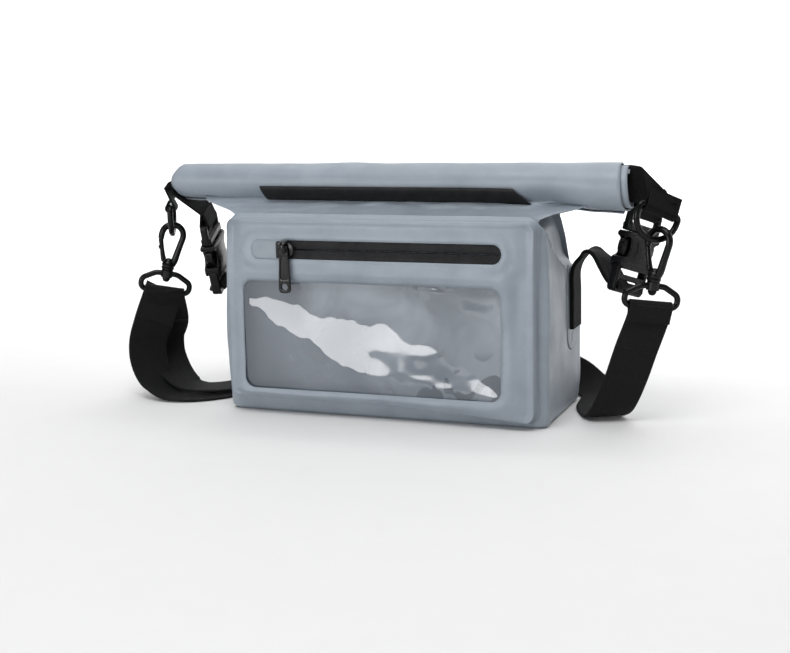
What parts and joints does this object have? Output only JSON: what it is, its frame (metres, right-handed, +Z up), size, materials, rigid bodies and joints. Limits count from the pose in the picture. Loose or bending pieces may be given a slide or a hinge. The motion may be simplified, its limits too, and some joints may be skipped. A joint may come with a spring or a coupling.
{
  "type": "dry bag",
  "caption": "Boxy roll-top dry bag with a zipped clear-window front pocket, side-release end buckles and a hooked webbing shoulder strap.",
  "frame": {"origin": "centre of the bag's base, on the surface it stands on", "axes": "+X along the bag's width and its roll, +Y from the window side to the back, +Z up"},
  "size_m": [0.4184, 0.1548, 0.1806],
  "materials": {
    "coated_fabric": "satin coated cloth",
    "trim_patch": "satin grey",
    "closure_webbing": "woven",
    "clear_film": "clear film",
    "zip_tape": "coated, matt",
    "zip_plastic": "moulded",
    "zip_metal": "black, satin",
    "strap_webbing": "woven",
    "webbing": "woven",
    "stiffener": "moulded",
    "hook_plastic": "moulded, satin",
    "buckle_plastic": "moulded, satin"
  },
  "bodies": {
    "bag": {"front_panel": "coated_fabric", "rear_panel": "coated_fabric", "left_side_panel": "coated_fabric", "right_side_panel": "coated_fabric", "base_panel": "coated_fabric", "neck": "coated_fabric", "roll_top": "coated_fabric", "roll_stiffener": "stiffener", "closure_strip": "closure_webbing", "pocket_panel": "coated_fabric", "pocket_gusset": "coated_fabric", "pocket_window": "clear_film", "zipper_tape_upper": "zip_tape", "zipper_tape_lower": "zip_tape", "zipper_coil": "zip_plastic", "zipper_stops": "zip_plastic", "zipper_garage": "trim_patch", "shoulder_strap": "strap_webbing", "strap_loop": "strap_webbing", "left_side_patch": "coated_fabric", "left_side_strap": "webbing", "left_buckle_male": "buckle_plastic", "left_ring_tab": "webbing", "left_buckle_tab": "webbing", "right_side_patch": "coated_fabric", "right_side_strap": "webbing", "right_buckle_male": "buckle_plastic", "right_ring_tab": "webbing", "right_buckle_tab": "webbing"},
    "zip_slider": {"zipper_slider": "zip_metal"},
    "zip_puller": {"zipper_puller": "zip_metal"},
    "adjuster": {"strap_adjuster": "buckle_plastic"},
    "left_socket": {"left_buckle_female": "buckle_plastic"},
    "left_front_arm": {"left_buckle_front_arm": "buckle_plastic"},
    "left_rear_arm": {"left_buckle_rear_arm": "buckle_plastic"},
    "left_ring": {"left_d_ring": "hook_plastic"},
    "left_swivel": {"left_swivel_ring": "hook_plastic"},
    "left_hook": {"left_hook_body": "hook_plastic"},
    "left_gate": {"left_hook_gate": "hook_plastic"},
    "right_socket": {"right_buckle_female": "buckle_plastic"},
    "right_front_arm": {"right_buckle_front_arm": "buckle_plastic"},
    "right_rear_arm": {"right_buckle_rear_arm": "buckle_plastic"},
    "right_ring": {"right_d_ring": "hook_plastic"},
    "right_swivel": {"right_swivel_ring": "hook_plastic"},
    "right_hook": {"right_hook_body": "hook_plastic"},
    "right_gate": {"right_hook_gate": "hook_plastic"}
  },
  "joints": [
    {"name": "zipper_slide", "type": "slide", "parent": "bag", "child": "zip_slider", "axis": [1, 0, 0], "range_m": [0, 0.15]},
    {"name": "puller_swing", "type": "hinge", "parent": "zip_slider", "child": "zip_puller", "pos_m": [-0.0645, -0.0676, 0.121], "axis": [0, 1, 0], "range_deg": [-75, 75]},
    {"name": "adjuster_slide", "type": "slide", "parent": "bag", "child": "adjuster", "axis": [1, 0, 0], "range_m": [-0.02, 0.03], "deforming": ["shoulder_strap", "strap_loop"]},
    {"name": "left_buckle_release", "type": "slide", "parent": "bag", "child": "left_socket", "axis": [-0.0199, 0.3489, -0.937], "range_m": [0, 0.024], "deforming": ["left_side_strap", "left_buckle_front_arm", "left_buckle_rear_arm"]},
    {"name": "left_front_arm_pinch", "type": "hinge", "parent": "bag", "child": "left_front_arm", "pos_m": [-0.15549, -0.00919, 0.1173], "axis": [0.9797, 0.194, 0.0514], "range_deg": [0, 10], "stiffness_Nm_per_rad": 0.05},
    {"name": "left_rear_arm_pinch", "type": "hinge", "parent": "bag", "child": "left_rear_arm", "pos_m": [-0.15909, 0.00731, 0.12352], "axis": [-0.9797, -0.194, -0.0514], "range_deg": [0, 10], "stiffness_Nm_per_rad": 0.05},
    {"name": "left_ring_swing", "type": "hinge", "parent": "bag", "child": "left_ring", "pos_m": [-0.1805, -0.02, 0.1455], "axis": [-0.4226, 0.9063, 0], "range_deg": [-5, 15], "deforming": ["strap_loop"]},
    {"name": "left_hook_rock", "type": "hinge", "parent": "left_ring", "child": "left_swivel", "pos_m": [-0.1805, -0.02, 0.1255], "axis": [-0.4226, 0.9063, 0], "range_deg": [-5, 15], "deforming": ["strap_loop"]},
    {"name": "left_hook_swivel", "type": "hinge", "parent": "left_swivel", "child": "left_hook", "pos_m": [-0.1805, -0.02, 0.1255], "axis": [0.1999, 0.03, 0.9794], "range_deg": [-45, 15]},
    {"name": "left_gate_open", "type": "hinge", "parent": "left_hook", "child": "left_gate", "pos_m": [-0.18768, -0.02305, 0.10562], "axis": [-0.6125, 0.784, 0.101], "range_deg": [0, 14], "stiffness_Nm_per_rad": 0.03},
    {"name": "right_buckle_release", "type": "slide", "parent": "bag", "child": "right_socket", "axis": [-0.22, -0.2, -0.9548], "range_m": [0, 0.024], "deforming": ["right_side_strap", "right_buckle_front_arm", "right_buckle_rear_arm"]},
    {"name": "right_front_arm_pinch", "type": "hinge", "parent": "bag", "child": "right_front_arm", "pos_m": [0.16682, 0.00191, 0.13081], "axis": [0.8513, -0.5174, -0.0877], "range_deg": [0, 10], "stiffness_Nm_per_rad": 0.05},
    {"name": "right_rear_arm_pinch", "type": "hinge", "parent": "bag", "child": "right_rear_arm", "pos_m": [0.1754, 0.01689, 0.1257], "axis": [-0.8513, 0.5174, 0.0877], "range_deg": [0, 10], "stiffness_Nm_per_rad": 0.05},
    {"name": "right_ring_swing", "type": "hinge", "parent": "bag", "child": "right_ring", "pos_m": [0.1905, -0.0225, 0.1483], "axis": [0.7227, 0.5646, -0.3987], "range_deg": [-15, 8], "deforming": ["shoulder_strap"]},
    {"name": "right_hook_rock", "type": "hinge", "parent": "right_ring", "child": "right_swivel", "pos_m": [0.19035, -0.02262, 0.1288], "axis": [0.7829, 0.6117, 0.1132], "range_deg": [-15, 5], "deforming": ["shoulder_strap"]},
    {"name": "right_hook_swivel", "type": "hinge", "parent": "right_swivel", "child": "right_hook", "pos_m": [0.19035, -0.02262, 0.1288], "axis": [0.12, 0.03, 0.9923], "range_deg": [-45, 0]},
    {"name": "right_gate_open", "type": "hinge", "parent": "right_hook", "child": "right_gate", "pos_m": [0.18429, -0.02164, 0.10834], "axis": [0.4055, 0.9109, -0.0766], "range_deg": [0, 14], "stiffness_Nm_per_rad": 0.03}
  ],
  "couplings": [
    {"joint": "left_rear_arm_pinch", "follows": "left_front_arm_pinch", "ratio": 1},
    {"joint": "right_rear_arm_pinch", "follows": "right_front_arm_pinch", "ratio": 1}
  ]
}
